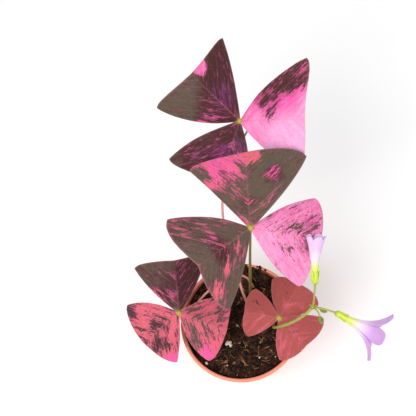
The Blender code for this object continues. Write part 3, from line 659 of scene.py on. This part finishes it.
# Midrib length, then for each leaflet its form (heading, pitch and roll, a length factor, and for the left
# and right wing the fold, breadth and bulges of the side and far margins), its ground tissue (pink, warmth,
# gloom) and its patches (out, across, size, pink, warmth, gloom), both in hundredths. Across runs from -100
# at the right margin to 100 at the left one. Pink is the share of pink tissue. Warmth runs from pale lilac
# pink over hot pink and coral to brick red, and gloom from olive grey over maroon to purple.
FRONDS = {
    "leaf_1": (39.1, (
        (((136, 45, -33), 0.97, (26, 1.18, 0.133, -0.010), (41, 1.18, 0.041, -0.024)), (16, 45, 12), (
            (45, 35, 20, 36, 50, 55), (80, 60, 30, 4, 50, 5), (30, 85, 22, 60, 60, 30),
            (50, -55, 42, 14, 45, 90), (85, -75, 30, 6, 50, 55), (97, -20, 12, 120, 44, 50),
            (50, -95, 14, 26, 66, 45))),
        (((-33, 30, 19), 1.02, (0, 1.13, 0.099, -0.009), (15, 0.88, 0.080, 0.010)), (130, 14, 30), (
            (18, 55, 22, 22, 62, 50), (42, 55, 28, 28, 62, 50), (70, 72, 32, 34, 62, 50),
            (100, 88, 32, 36, 64, 45), (50, 16, 11, 42, 45, 80), (78, 22, 14, 110, 44, 60),
            (25, -30, 22, 130, 28, 60), (85, -50, 35, 130, 2, 60))),
        (((-131, -33, -29), 0.94, (41, 1.09, 0.049, 0.020), (4, 1.09, 0.080, -0.001)), (24, 50, 55), (
            (50, -30, 22, 34, 44, 95), (30, -75, 25, 12, 60, 25), (80, -70, 20, 34, 50, 75),
            (95, -95, 20, 10, 80, 30), (50, 40, 35, 26, 45, 90))))),
    "leaf_2": (37.0, (
        (((79, 12, -2), 1.08, (12, 1.07, -0.007, 0.005), (5, 1.07, 0.052, 0.044)), (56, 80, 10), (
            (50, 45, 40, 62, 84, 15), (90, 45, 30, 74, 60, 15), (85, 100, 16, 10, 60, 2),
            (45, 100, 14, 15, 60, 5), (55, -60, 45, 6, 66, 6), (95, -55, 34, 4, 66, 8),
            (93, -12, 11, 76, 86, 20), (70, -52, 12, 50, 55, 45), (30, -10, 11, 42, 66, 60),
            (20, -50, 20, 34, 84, 15))),
        (((-150, 22, -13), 0.96, (22, 1.04, 0.046, 0.058), (0, 1.05, 0.087, 0.057)), (10, 80, 6), (
            (40, -95, 20, 40, 74, 15), (80, -80, 25, 38, 66, 20), (62, -35, 12, 50, 56, 25),
            (60, 12, 16, 32, 60, 70), (90, 55, 14, 62, 90, 20), (62, 52, 13, 62, 90, 20),
            (36, 50, 13, 54, 90, 20), (60, 95, 18, 2, 60, 0), (85, 10, 14, 4, 60, 0))),
        (((-23, -9, 3), 0.97, (14, 1.00, 0.066, 0.039), (38, 1.03, 0.085, -0.006)), (80, 24, 10), (
            (75, 40, 26, 50, 40, 15), (95, 85, 20, 76, 36, 20), (93, -12, 16, 16, 56, 2),
            (45, 55, 25, 80, 34, 20), (45, -35, 28, 64, 26, 10), (85, -80, 28, 92, 26, 10),
            (35, -90, 22, 96, 20, 10))))),
    "leaf_3": (29.3, (
        (((77, 33, 19), 1.00, (21, 1.06, 0.061, 0.017), (27, 1.06, 0.068, 0.020)), (20, 66, 36), (
            (45, 95, 18, 76, 84, 40), (50, 15, 22, 26, 55, 75), (90, 60, 34, 6, 60, 24),
            (70, -60, 40, 22, 60, 60))),
        (((-164, -27, -12), 1.02, (29, 1.05, 0.038, 0.039), (5, 1.05, 0.110, 0.033)), (60, 84, 38), (
            (95, 88, 18, 110, 60, 40), (60, -70, 28, 70, 84, 30), (55, -20, 16, 34, 80, 45),
            (80, 25, 20, 38, 84, 45), (95, -85, 16, 24, 80, 45))),
        (((-32, -16, 6), 0.97, (20, 0.96, 0.119, -0.003), (16, 0.93, 0.119, 0.028)), (64, 84, 12), (
            (95, -75, 26, 100, 66, 25), (60, 45, 34, 54, 88, 12), (40, -50, 30, 50, 88, 10),
            (95, 90, 20, 78, 80, 15))))),
    "leaf_4": (22.2, (
        (((150, -12, -12), 0.93, (23, 0.95, 0.085, 0.070), (14, 0.95, 0.085, 0.070)), (115, 118, 42), (
            (70, -60, 36, 80, 122, 48), (60, 50, 30, 130, 112, 40))),
        (((45, 0, 2), 1.03, (22, 0.99, 0.085, 0.070), (28, 0.99, 0.085, 0.070)), (95, 122, 45), (
            (75, 70, 40, 78, 124, 45), (45, -50, 30, 110, 114, 45))),
        (((-55, -30, 9), 1.03, (5, 1.04, 0.085, 0.070), (20, 1.04, 0.085, 0.070)), (120, 116, 40), (
            (50, -15, 18, 46, 110, 25), (80, 60, 30, 130, 118, 40), (85, -60, 35, 130, 112, 40))))),
}


def pose_matrix(heading, pitch, roll):
    """Rolls about the midrib, lifts by the pitch, then turns to the heading."""
    h, p, r = (math.radians(angle) for angle in (heading, pitch, roll))
    about_rib = np.array([[1, 0, 0], [0, math.cos(r), -math.sin(r)], [0, math.sin(r), math.cos(r)]])
    lift = np.array([[math.cos(p), 0, -math.sin(p)], [0, 1, 0], [math.sin(p), 0, math.cos(p)]])
    turn = np.array([[math.cos(h), -math.sin(h), 0], [math.sin(h), math.cos(h), 0], [0, 0, 1]])
    return turn @ lift @ about_rib


def leaflet_outline(across, along, broad, side_bulge, far_bulge):
    """Distance out along the midrib and off to the side, in midrib lengths: a triangle with bulging sides."""
    u, s = along, np.abs(across)
    corner = CORNER_ASIDE * broad
    slant = np.hypot(CORNER_ALONG, corner)
    bow = side_bulge * np.sin(math.pi * u) / slant
    side_out = CORNER_ALONG * u - bow * corner
    side_off = 0.02 * (1 - u) + corner * u + bow * CORNER_ALONG
    out = (1 - s) * u + s * side_out + far_bulge * u ** 3 * np.sin(math.pi * s)
    off = s * side_off
    blunt = CORNER_BLUNT * (u * s) ** 7 / slant
    return out - blunt * CORNER_ALONG, off - blunt * corner


def leaflet_surface(across, along, hub, length, leaflet_pose, seed):
    """The blade's middle surface: folded along the rib, curled and waved at its margins, with side veins."""
    (heading, pitch, roll), long_factor, left_wing, right_wing = leaflet_pose
    wings = zip(left_wing, right_wing)
    fold, broad, side_bulge, far_bulge = (np.where(across > 0, left, right) for left, right in wings)
    out, off = leaflet_outline(across, along, broad, side_bulge, far_bulge)
    fold = np.radians(fold)
    turned_down = fold + WING_CURL * off
    side = (np.sin(turned_down) - np.sin(fold)) / WING_CURL * np.sign(across)
    drop = (np.cos(turned_down) - np.cos(fold)) / WING_CURL
    phase = np.random.default_rng(seed).uniform(0, 2 * math.pi, 4)
    wave = 0.010 * np.abs(across) ** 2 * np.sin(9 * along + phase[0] + 2 * across)
    wave = wave + 0.008 * along ** 4 * np.sin(7 * across + phase[1])
    wave = wave + 0.004 * np.sin(5 * along + 4 * across + phase[2]) * along
    vein = 0.0022 * np.cos(2 * math.pi * (out - VEIN_SLANT * off) / VEIN_SPACING) * np.clip(off / 0.1, 0, 1)
    vein = vein * along
    rib = -0.012 * np.exp(-(off / 0.012) ** 2) * (1.1 - along)
    bend = MIDRIB_DROOP * out
    ahead = np.sin(bend) / MIDRIB_DROOP + drop * np.sin(bend)
    rise = (np.cos(bend) - 1) / MIDRIB_DROOP + drop * np.cos(bend)
    blade = np.stack([ahead, side, rise + wave + vein + rib], axis=-1) * length * long_factor
    return blade @ pose_matrix(heading, pitch, roll).T + np.array(hub), out, off


def closed_blade(middle, thickness):
    """A closed thin shell about a grid of points: both faces offset along the normal, and a rim all round."""
    rows, columns = middle.shape[:2]
    normal = np.cross(*np.gradient(middle, axis=(0, 1)))
    normal /= np.linalg.norm(normal, axis=2)[:, :, None]
    half = (thickness / 2)[:, :, None] * normal
    points = np.vstack([(middle + half).reshape(-1, 3), (middle - half).reshape(-1, 3)])
    count = rows * columns
    upper = quads(rows, columns)[:, ::-1]
    lower = quads(rows, columns) + count
    ring = np.concatenate([
        np.arange(columns), np.arange(2, rows + 1) * columns - 1,
        np.arange(count - 2, count - columns - 1, -1), np.arange(rows - 2, 0, -1) * columns])
    after = np.roll(ring, -1)
    rim = np.stack([ring, after, after + count, ring + count], axis=1)
    return points, np.vstack([upper, lower, rim]).tolist()


def make_leaf_shader():
    """Marbled leaf tissue: noise at several scales, drawn out along the side veins, breaks up the patches."""
    leaf = Shader("marbled_leaf", 0.6)
    flat = leaf.add("ShaderNodeUVMap")
    seed = leaf.add("ShaderNodeCombineXYZ", i2=leaf.times(leaf.value("seed"), 7.31))
    flat = leaf.add("ShaderNodeVectorMath", settings={"operation": "ADD"}, i0=flat, i1=seed)

    def layer(shift, stretch, scale, detail, roughness):
        """Noise about nought, drawn out along the veins."""
        moved = leaf.add("ShaderNodeMapping", i0=flat, i1=(shift, 2 * shift, shift), i3=(1.0, stretch, 1.0))
        return leaf.math("SUBTRACT", leaf.noise(moved, scale, detail, roughness, distortion=0.25), 0.5)

    def sway(value, *parts):
        """Adds several noises to a value, each with its weight."""
        for noise, weight in parts:
            value = leaf.math("MULTIPLY_ADD", noise, weight, value)
        return value

    blotch = layer(1.0, 0.5, 2.6, 3.0, 0.5)
    streak = layer(3.0, 0.26, 8.0, 5.0, 0.65)
    fleck = layer(5.0, 0.36, 24.0, 4.0, 0.65)
    other = layer(9.0, 0.30, 5.0, 5.0, 0.65)
    tint = layer(12.0, 0.40, 3.4, 4.0, 0.6)

    level = sway(leaf.value("pink"), (blotch, 1.3), (streak, 1.9), (fleck, 1.0))
    pink = leaf.ramp(level, 0.47, 0.58)

    bright = leaf.steps(sway(leaf.value("warmth"), (tint, 0.7)), (232, 168, 212),
                        (0.0, 0.28, (244, 140, 190)), (0.28, 0.52, (236, 84, 166)),
                        (0.52, 0.78, (222, 98, 118)), (0.95, 1.15, (166, 78, 74)), smooth=False)
    dark = leaf.steps(sway(leaf.value("gloom"), (other, 1.5)), (92, 78, 66),
                      (0.05, 0.45, (72, 35, 36)), (0.70, 1.10, (122, 50, 110)), smooth=False)
    veil = sway(level, (other, 1.6))
    dark = leaf.mix(leaf.times(leaf.ramp(veil, 0.30, 0.62), 0.5), dark, (166, 78, 122))
    rust = leaf.times(leaf.ramp(sway(fleck, (other, 0.9)), 0.10, 0.22), 0.5)
    dark = leaf.mix(rust, dark, (150, 84, 84))
    freckle = leaf.times(leaf.ramp(leaf.math("ADD", fleck, streak), 0.06, 0.17), 0.8)
    freckle = leaf.times(freckle, leaf.span(leaf.value("pink"), 0.85, 1.1, 1.0, 0.0))
    bright = leaf.mix(freckle, bright, leaf.mix(0.6, dark, (150, 96, 62)))
    muted = leaf.span(leaf.value("pink"), 0.1, 0.6, 0.5, 0.0)
    colour = leaf.mix(pink, dark, leaf.mix(muted, bright, dark))
    grain = layer(15.0, 0.45, 60.0, 3.0, 0.6)
    shade = leaf.span(sway(fleck, (grain, 1.2)), -0.3, 0.3, 0.70, 1.22)
    colour = leaf.add("ShaderNodeVectorMath", settings={"operation": "SCALE"}, i0=colour, i3=shade)

    vein = leaf.value("vein")
    colour = leaf.mix(leaf.times(vein, 0.10), colour, (206, 128, 150))
    colour = leaf.mix(leaf.times(leaf.value("rib"), 0.4), colour, (176, 112, 112))
    colour = leaf.mix(leaf.times(leaf.value("margin"), 0.35), colour, (206, 136, 140))
    below = leaf.mix(0.55, colour, (146, 62, 104))
    colour = leaf.mix(leaf.value("under"), colour, below)
    colour = leaf.mix(leaf.value("stem"), colour, (176, 160, 70))
    relief = sway(leaf.times(vein, -0.3), (leaf.noise(flat, 90.0, 3.0), 0.6))
    leaf.bump(relief, 0.4, 0.0003)
    return leaf.set(Base_Color=colour, Subsurface_Weight=0.05, Subsurface_Radius=(0.002, 0.0008, 0.0008),
                    Specular_IOR_Level=0.18)


leaf_shader = make_leaf_shader()
columns = np.linspace(-1, 1, BLADE_COLUMNS + 1)
columns = np.sign(columns) * np.abs(columns) ** 1.15
rows = np.linspace(0, 1, BLADE_ROWS + 1)
across_grid, along_grid = np.meshgrid(columns, rows)
for leaf_number, (leaf_name, (leaf_length, leaflets)) in enumerate(FRONDS.items()):
    shells, uv_rows = [], []
    kept = {key: [] for key in ("pink", "warmth", "gloom", "vein", "rib", "margin", "under", "stem", "seed")}
    for index, (leaflet_pose, ground, patches) in enumerate(leaflets):
        seed = 10 * leaf_number + index
        middle, out, off = leaflet_surface(across_grid, along_grid, HUBS[leaf_name], leaf_length,
                                           leaflet_pose, seed)
        size = leaf_length * leaflet_pose[1]
        rim_gap = np.minimum(1 - np.abs(across_grid), 1 - along_grid) * along_grid
        thickness = BLADE_THICKNESS * np.clip(0.45 + 6 * rim_gap, 0.45, 1)
        thickness = thickness + 0.35 * np.exp(-(off / 0.015) ** 2) * (1.05 - along_grid)
        shells.append(closed_blade(middle, thickness))
        paint = np.ones(across_grid.shape + (1,)) * np.array(ground) / 100
        for patch_out, patch_across, patch_size, *patch_paint in np.array(patches) / 100:
            sideways = CORNER_ASIDE * along_grid * (across_grid - patch_across)
            away = (along_grid - patch_out) ** 2 + sideways ** 2
            weight = np.exp(-(away / patch_size ** 2) ** 1.5)[:, :, None]
            paint = paint * (1 - weight) + weight * patch_paint
        line = np.abs(((out - VEIN_SLANT * off) / VEIN_SPACING) % 1 - 0.5) * VEIN_SPACING * size
        edge = np.minimum((1 - np.abs(across_grid)) * CORNER_ASIDE * along_grid, 1 - along_grid) * size
        numbers = {
            "pink": paint[:, :, 0], "warmth": paint[:, :, 1], "gloom": paint[:, :, 2],
            "vein": np.exp(-(line / 0.16) ** 2) * np.clip(along_grid * 3, 0, 1),
            "rib": np.clip(1.2 * np.exp(-(off * size / 0.35) ** 2) * (1.15 - along_grid) ** 1.3, 0, 1),
            "margin": np.exp(-edge / 0.25), "stem": np.clip(1 - along_grid * size / 2.2, 0, 1),
            "seed": np.full(across_grid.shape, float(seed)),
        }
        both = np.stack([out - VEIN_SLANT * off, off * np.sign(across_grid)], axis=2) * size / 10
        uv_rows.append(np.tile(both.reshape(-1, 2), (2, 1)))
        for key, grid in numbers.items():
            kept[key].append(np.tile(grid.ravel(), 2))
        kept["under"].append(np.repeat([0.0, 1.0], across_grid.size))
    knob = tube([HUBS[leaf_name] + np.array([0, 0, z]) for z in np.linspace(-1.35, 1.2, 9)],
                1.45 * np.sqrt(1 - np.linspace(-0.93, 0.82, 9) ** 2), 20)
    shells.append(knob)
    uv_rows.append(np.zeros((len(knob[0]), 2)))
    for key in kept:
        kept[key].append(np.full(len(knob[0]), 1.0 if key == "stem" else 0.0))
    piece(f"{leaf_name}_blades", gather(shells), leaf_shader, replaces=[leaf_name], uv=uv_rows,
          values=kept)


# The flower stalk: an olive-green peduncle that climbs through the gap beside the fourth leaf's hub and
# ends in a small umbel, with a pedicel to each flower and bud.
STALK_ROUTE = (
    (20.2, 1.2, 50.6), (20.0, 0.6, 56.0), (17.6, -7.4, 68.0), (16.5, -13.2, 80.5), (17.6, -15.2, 86.5),
    (20.6, -16.2, 90.5), (25.0, -16.8, 94.0), (32.0, -16.8, 101.5), (37.3, -15.8, 110.0))
# Foot, axis, length, mouth radius, depth of the notches between petals, and bends of the pedicel
FLOWERS = (
    ((40.2, -8.5, 128.9), (0.256, 0.817, 0.516), 26.0, 5.0, 0.30, (
        (38.0, -14.6, 116.2), (38.9, -12.3, 122.8))),
    ((48.1, -23.2, 112.0), (0.72, -0.67, -0.17), 27.5, 14.0, 0.42, (
        (40.4, -18.0, 112.5), (44.0, -20.4, 113.2))))
# Bend of the pedicel, foot, axis, length and radius
BUDS = (
    ((39.4, -16.6, 109.6), (40.6, -17.4, 108.2), (0.75, -0.40, -0.53), 4.6, 1.25),
    ((38.9, -18.4, 109.2), (39.5, -20.6, 106.6), (0.10, -0.62, -0.78), 5.2, 1.35))
CALYX_SINK = 1.3
PEDICEL_SIDES = 16

green_stem = stem_shader("green_stalk", (120, 108, 44), (128, 124, 46), (158, 168, 66), (140, 100, 60))
umbel = np.array(STALK_ROUTE[-1])
branches = [(smooth_route(STALK_ROUTE, 80), np.linspace(0.9, 0.7, 80))]
for base, axis, _, _, _, bends in FLOWERS:
    branches.append((smooth_route([umbel, *bends, np.array(base) - CALYX_SINK * unit(axis)], 40),
                     np.linspace(0.5, 0.45, 40) + 0.35 * np.linspace(0, 1, 40) ** 12))
for bend, foot, axis, _, _ in BUDS:
    branches.append((smooth_route([umbel, bend, foot], 20), np.full(20, 0.42)))
stalk_shells = [tube(route, radii, PEDICEL_SIDES) for route, radii in branches]
stalk_along = []
for number, (route, _) in enumerate(branches):
    start = 0 if number == 0 else 1
    stalk_along += [np.repeat(np.linspace(start, 1, len(route)), PEDICEL_SIDES), [start, 1]]
draw = np.random.default_rng(4)
for turn in np.linspace(0, 2 * math.pi, 6)[:-1]:
    reach = np.array([math.cos(turn), math.sin(turn), 0.7])
    bract = smooth_route([umbel - (0, 0, 0.3), umbel + 1.1 * reach, umbel + 2.1 * reach * (1, 1, 1.15)], 8)
    stalk_shells.append(tube(bract, 0.5 * np.sin(np.linspace(0.7, 3.0, 8)) ** 0.8 + 0.08, 8, 0.5))
    stalk_along.append(np.ones(8 * 8 + 2))
stalk_shells.append(pebble(umbel, 1.15, draw, 10, 16))
stalk_along.append(np.ones(len(stalk_shells[-1][0])))
piece("flower_stalk_green", gather(stalk_shells), green_stem, replaces=["flower_stalk"],
      values={"along": stalk_along})


# The flowers and buds: a trumpet of five lilac petals rolled over each other, yellow-green at its foot,
# held in a cup of five green sepals, with a ring of anthers in its throat.
TUBE_RADIUS = 1.0
TUBE_SLOPE = 2.6                    # widening of the tube before the flare
PETALS = 5
PETAL_THICKNESS = 0.22
SEPAL_THICKNESS = 0.3
CALYX_DEPTH = 5.0
STAMENS = 10


def axes_along(axis):
    """Two unit directions square to an axis, and the axis itself at unit length."""
    ahead = unit(axis)
    side = unit(np.cross(ahead, (0.0, 0.0, 1.0)))
    return side, np.cross(side, ahead), ahead


def around(origin, axis, radius, height, turn):
    """Places points by radius, height and turn about an axis."""
    side, over, ahead = axes_along(axis)
    outward = np.cos(turn)[..., None] * side + np.sin(turn)[..., None] * over
    return np.array(origin) + radius[..., None] * outward + height[..., None] * ahead


def tube_profile(share, length, mouth):
    """Radius and height of a corolla at a share of its length: a narrow tube that flares to the mouth."""
    flare = mouth - TUBE_RADIUS - TUBE_SLOPE
    return TUBE_RADIUS + TUBE_SLOPE * share + flare * share ** 3, length * (share - 0.12 * share ** 4)


petals = Shader("lilac_petal", 0.5)
flat = petals.add("ShaderNodeUVMap")
reach = petals.value("reach")
lilac = petals.mix(petals.value("pale"), (196, 142, 214), (232, 204, 234))
lilac = petals.mix(petals.ramp(reach, 0.40, 0.72), (232, 214, 232), lilac)
lilac = petals.mix(petals.ramp(reach, 0.20, 0.48), (212, 226, 84), lilac)
fine = petals.noise(petals.add("ShaderNodeMapping", i0=flat, i3=(26.0, 1.6, 1.0)), 3.0, 3.0)
lilac = petals.mix(petals.times(petals.ramp(fine, 0.55, 0.75), 0.35), lilac, (190, 140, 208))
petals.set(Base_Color=lilac, Subsurface_Weight=0.2, Subsurface_Radius=(0.002, 0.0015, 0.002),
                 Sheen_Weight=0.1)
petals.bump(fine, 0.2, 0.0003)
sepal_shader = stem_shader("green_sepal", (176, 196, 60), (196, 214, 66), (206, 220, 84), (176, 186, 70))
bud_shader = stem_shader("green_bud", (120, 132, 44), (112, 128, 40), (128, 138, 52), (90, 96, 36))
anther_shader = stem_shader("pale_stamens", (226, 232, 190), (232, 236, 200), (240, 226, 120),
                            (240, 240, 210))

for number, (base, axis, length, mouth, notch, _) in enumerate(FLOWERS, start=1):
    shells, reaches, pales, uvs = [], [], [], []
    share, across = np.meshgrid(np.linspace(0, 1, 48), np.linspace(-1, 1, 25), indexing="ij")
    for petal in range(PETALS):
        middle_turn = 2 * math.pi * petal / PETALS
        spread = math.pi / PETALS * (1.12 - (0.30 if mouth > 8 else 0.02) * share ** 2)
        width = spread * across
        rim = 1 - notch * (1 - np.cos(np.clip(across * 1.1, -1.4, 1.4)) ** 0.8) - 0.012 * np.cos(7 * across)
        run = share * rim
        radius, height = tube_profile(run, length, mouth)
        curl = 0.9 * (mouth / 12) * np.clip(run - 0.7, 0, 1) ** 2 * 10
        radius = radius + 0.22 * across * np.clip(share * 6, 0, 1)
        radius = radius + 0.15 * np.sin(6 * across + petal) * run ** 3
        height = height - curl * 0.6 + 0.25 * np.sin(5 * across + 2 * petal) * run ** 4
        middle = around(base, axis, radius, height, middle_turn + width)
        shells.append(closed_blade(middle[:, ::-1], np.full(share.shape, PETAL_THICKNESS)))
        reaches.append(np.tile(run[:, ::-1].ravel(), 2))
        pales.append(np.repeat([0.7, 0.7] if mouth < 8 else [0.0, 0.25], share.size))
        uvs.append(np.tile(np.stack([across[:, ::-1], share], axis=2).reshape(-1, 2), (2, 1)))
    piece(f"corolla_{number}_petals", gather(shells), petals.material,
          replaces=[f"corolla_{number}"], uv=uvs, values={"reach": reaches, "pale": pales})

    shells, alongs = [], []
    share, across = np.meshgrid(np.linspace(0, 1, 20), np.linspace(-1, 1, 11), indexing="ij")
    for sepal in range(PETALS):
        half_width = math.pi / PETALS * 1.05 * np.sqrt(1 - 0.97 * share ** 2.2)
        turn = 2 * math.pi * sepal / PETALS + across * half_width
        height = -CALYX_SINK + (CALYX_DEPTH + CALYX_SINK) * share
        radius, _ = tube_profile(np.clip(height, 0, None) / length, length, mouth)
        radius = (radius + 0.55 + 0.12 * across) * np.clip(share * 9 + 0.25, 0, 1) ** 0.6
        middle = around(base, axis, radius, height, turn)
        shells.append(closed_blade(middle[:, ::-1], np.full(share.shape, SEPAL_THICKNESS)))
        alongs.append(np.tile(share.ravel(), 2))
    piece(f"calyx_{number}_sepals", gather(shells), sepal_shader,
          replaces=[f"calyx_{number}"], values={"along": alongs})

    shells, alongs = [], []
    side, over, ahead = axes_along(axis)
    for stamen in range(STAMENS):
        turn = 2 * math.pi * stamen / STAMENS
        tall = 8.6 if stamen % 2 else 6.6
        outward = math.cos(turn) * side + math.sin(turn) * over
        foot = np.array(base) + 0.8 * ahead + 0.35 * outward
        top = np.array(base) + tall * ahead + 0.75 * outward
        shells.append(tube(smooth_route([foot, (foot + top) / 2, top], 8), 0.11, 6))
        shells.append(pebble(top, 0.34, draw, 6, 8, (1, 0.7, 1)))
        alongs += [np.zeros(len(shells[-2][0])), np.ones(len(shells[-1][0]))]
    piece(f"stamens_{number}_ring", gather(shells), anther_shader,
          replaces=[f"stamens_{number}"], values={"along": alongs})

BUD_GRID = 30
bud_faces = [face[::-1] for face in closed_grid(BUD_GRID, BUD_GRID)]
for number, (_, foot, axis, length, radius) in enumerate(BUDS, start=1):
    share = np.linspace(0.02, 0.99, BUD_GRID)
    turn = 2 * np.pi * np.arange(BUD_GRID) / BUD_GRID
    girth = np.sin(math.pi * share ** 0.8) ** 0.8
    ridges = 1 + 0.08 * np.cos(PETALS * turn)
    rings = around(foot, axis, radius * girth[:, None] * ridges, length * share[:, None] + 0 * ridges,
                   turn + 0.5 * share[:, None])
    bud_tips = around(foot, axis, np.zeros(2), np.array([0, length]), np.zeros(2))
    piece(f"bud_{number}_green", (np.vstack([rings.reshape(-1, 3), bud_tips]), bud_faces), bud_shader,
          replaces=[f"bud_{number}"],
          values={"along": [np.repeat(share, BUD_GRID), [0, 1]]})
